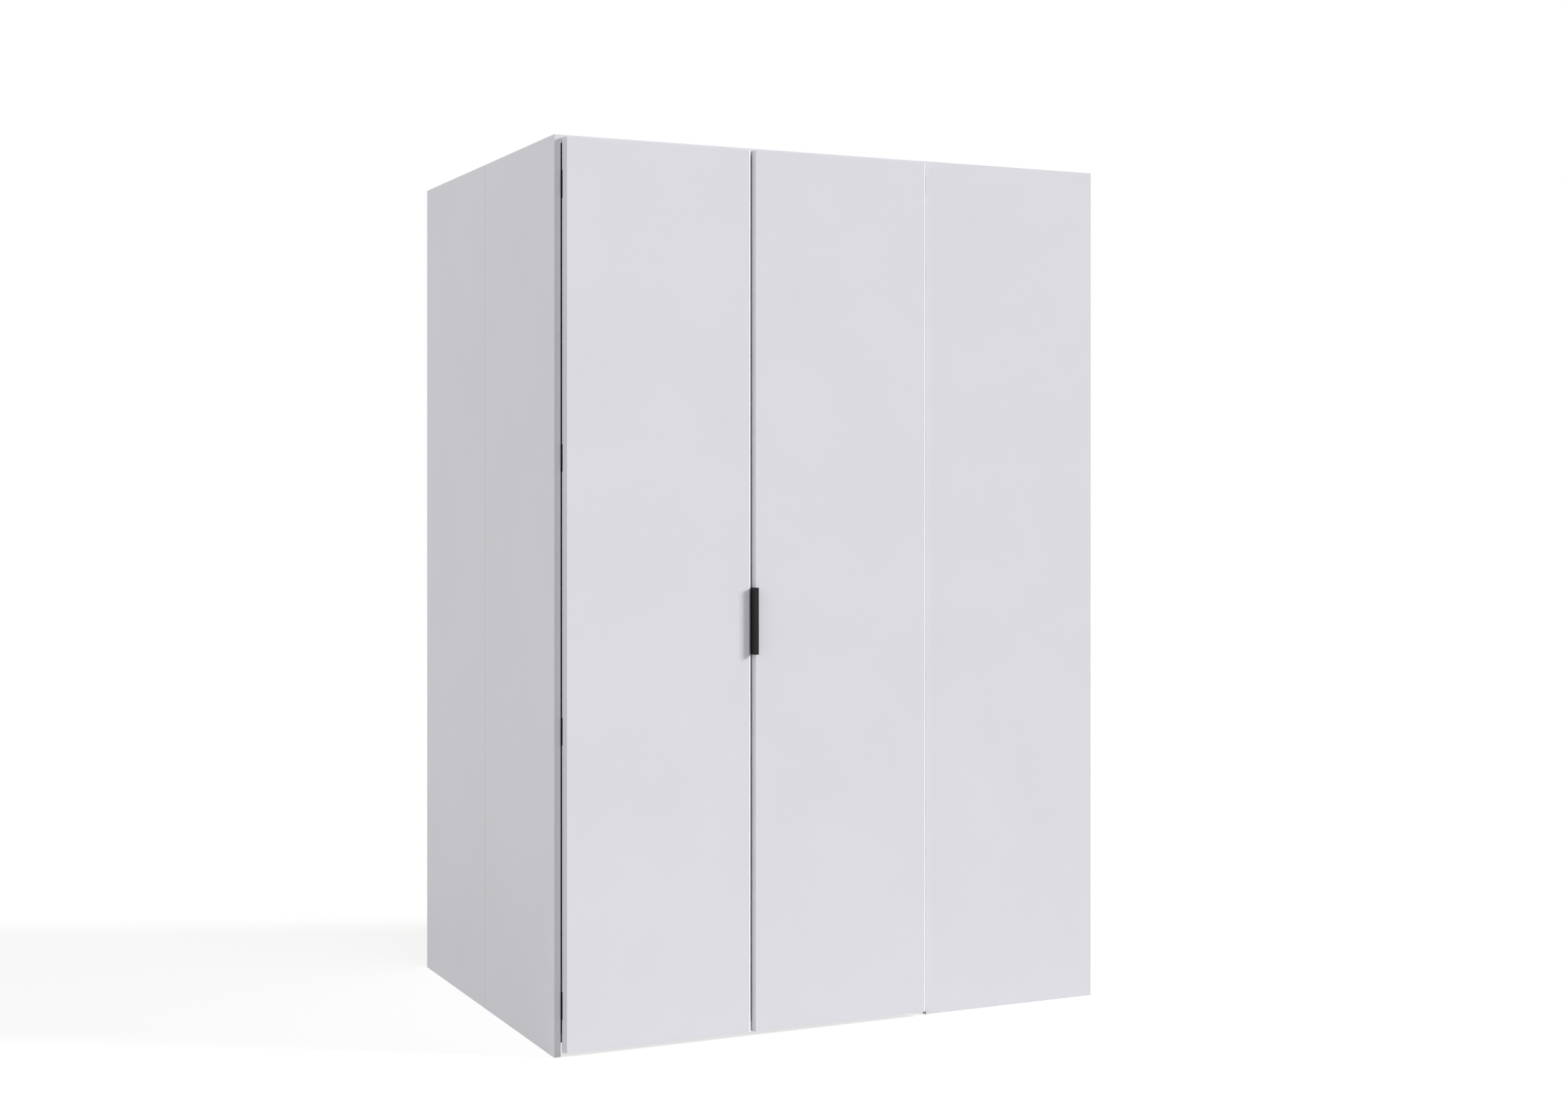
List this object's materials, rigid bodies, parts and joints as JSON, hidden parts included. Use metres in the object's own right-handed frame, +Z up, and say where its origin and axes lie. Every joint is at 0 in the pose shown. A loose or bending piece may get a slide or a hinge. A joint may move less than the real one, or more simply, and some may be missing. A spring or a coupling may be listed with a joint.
{
  "type": "corner wardrobe",
  "caption": "Deep white corner wardrobe with a folding pair of bevel-edged doors, a black edge pull and a fixed blind front panel, with hanging space and shelves inside.",
  "frame": {"origin": "on the floor under the middle of the whole box, from the pull's front to the rear edges", "axes": "+Z up, +X to the right and +Y to the back, seen from in front"},
  "size_m": [1.5, 1.113, 2.18],
  "materials": {
    "white_board": "smooth white melamine",
    "softwood": "planed",
    "hardboard": "white printed hardboard",
    "white_plastic": "matt",
    "black_plastic": "matt",
    "rubber": "matt",
    "zinc": "zinc plated",
    "chrome": "polished",
    "aluminium": "satin",
    "black_steel": "matt black",
    "burnished_steel": "burnished black"
  },
  "bodies": {
    "carcass": {"left_side_front": "white_board", "left_side_rear": "white_board", "right_side_front": "white_board", "right_side_rear": "white_board", "top_front": "white_board", "top_rear": "white_board", "bottom_front": "white_board", "bottom_rear": "white_board", "left_seam_batten": "white_board", "right_seam_batten": "white_board", "top_seam_batten": "white_board", "bottom_seam_rail": "softwood", "fixed_panel": "white_board", "panel_upright": "white_board", "back_left": "hardboard", "back_middle": "hardboard", "back_right": "hardboard", "back_joint_strips": "white_plastic", "partition": "white_board", "hat_shelf": "white_board", "bay_shelf_1": "white_board", "bay_shelf_2": "white_board", "bay_shelf_3": "white_board", "shelf_supports": "zinc", "clothes_rail": "chrome", "rail_socket_left": "chrome", "rail_socket_right": "chrome", "feet": "black_plastic", "cam_fittings": "zinc", "cam_bolts": "zinc", "wall_angles": "zinc", "guide_bars": "aluminium", "track_stop": "rubber", "side_hinge_carcass_wings": "burnished_steel", "side_hinge_pins": "burnished_steel"},
    "left_leaf": {"door_left": "white_board", "side_hinge_leaf_wings": "burnished_steel", "fold_hinge_left_wings": "burnished_steel", "fold_hinge_pins": "burnished_steel"},
    "right_leaf": {"door_right": "white_board", "fold_hinge_right_wings": "burnished_steel", "pull_handle": "black_steel", "handle_screws": "zinc", "carriage_hinge_wing": "burnished_steel"},
    "carriage": {"carriage_arm": "burnished_steel", "carriage_pin": "burnished_steel", "carriage_glide": "black_plastic"}
  },
  "joints": [
    {"name": "left_leaf_swing", "type": "hinge", "parent": "carcass", "child": "left_leaf", "pos_m": [-0.7305, -0.525, 1.09], "axis": [0, 0, -1], "range_deg": [0, 85]},
    {"name": "fold", "type": "hinge", "parent": "left_leaf", "child": "right_leaf", "pos_m": [-0.244, -0.5215, 1.09], "axis": [0, 0, 1], "range_deg": [0, 170]},
    {"name": "carriage_pivot", "type": "hinge", "parent": "right_leaf", "child": "carriage", "pos_m": [0.2425, -0.525, 2.12], "axis": [0, 0, -1], "range_deg": [0, 85]}
  ],
  "couplings": [
    {"joint": "fold", "follows": "left_leaf_swing", "ratio": 2},
    {"joint": "carriage_pivot", "follows": "left_leaf_swing", "ratio": 1}
  ]
}
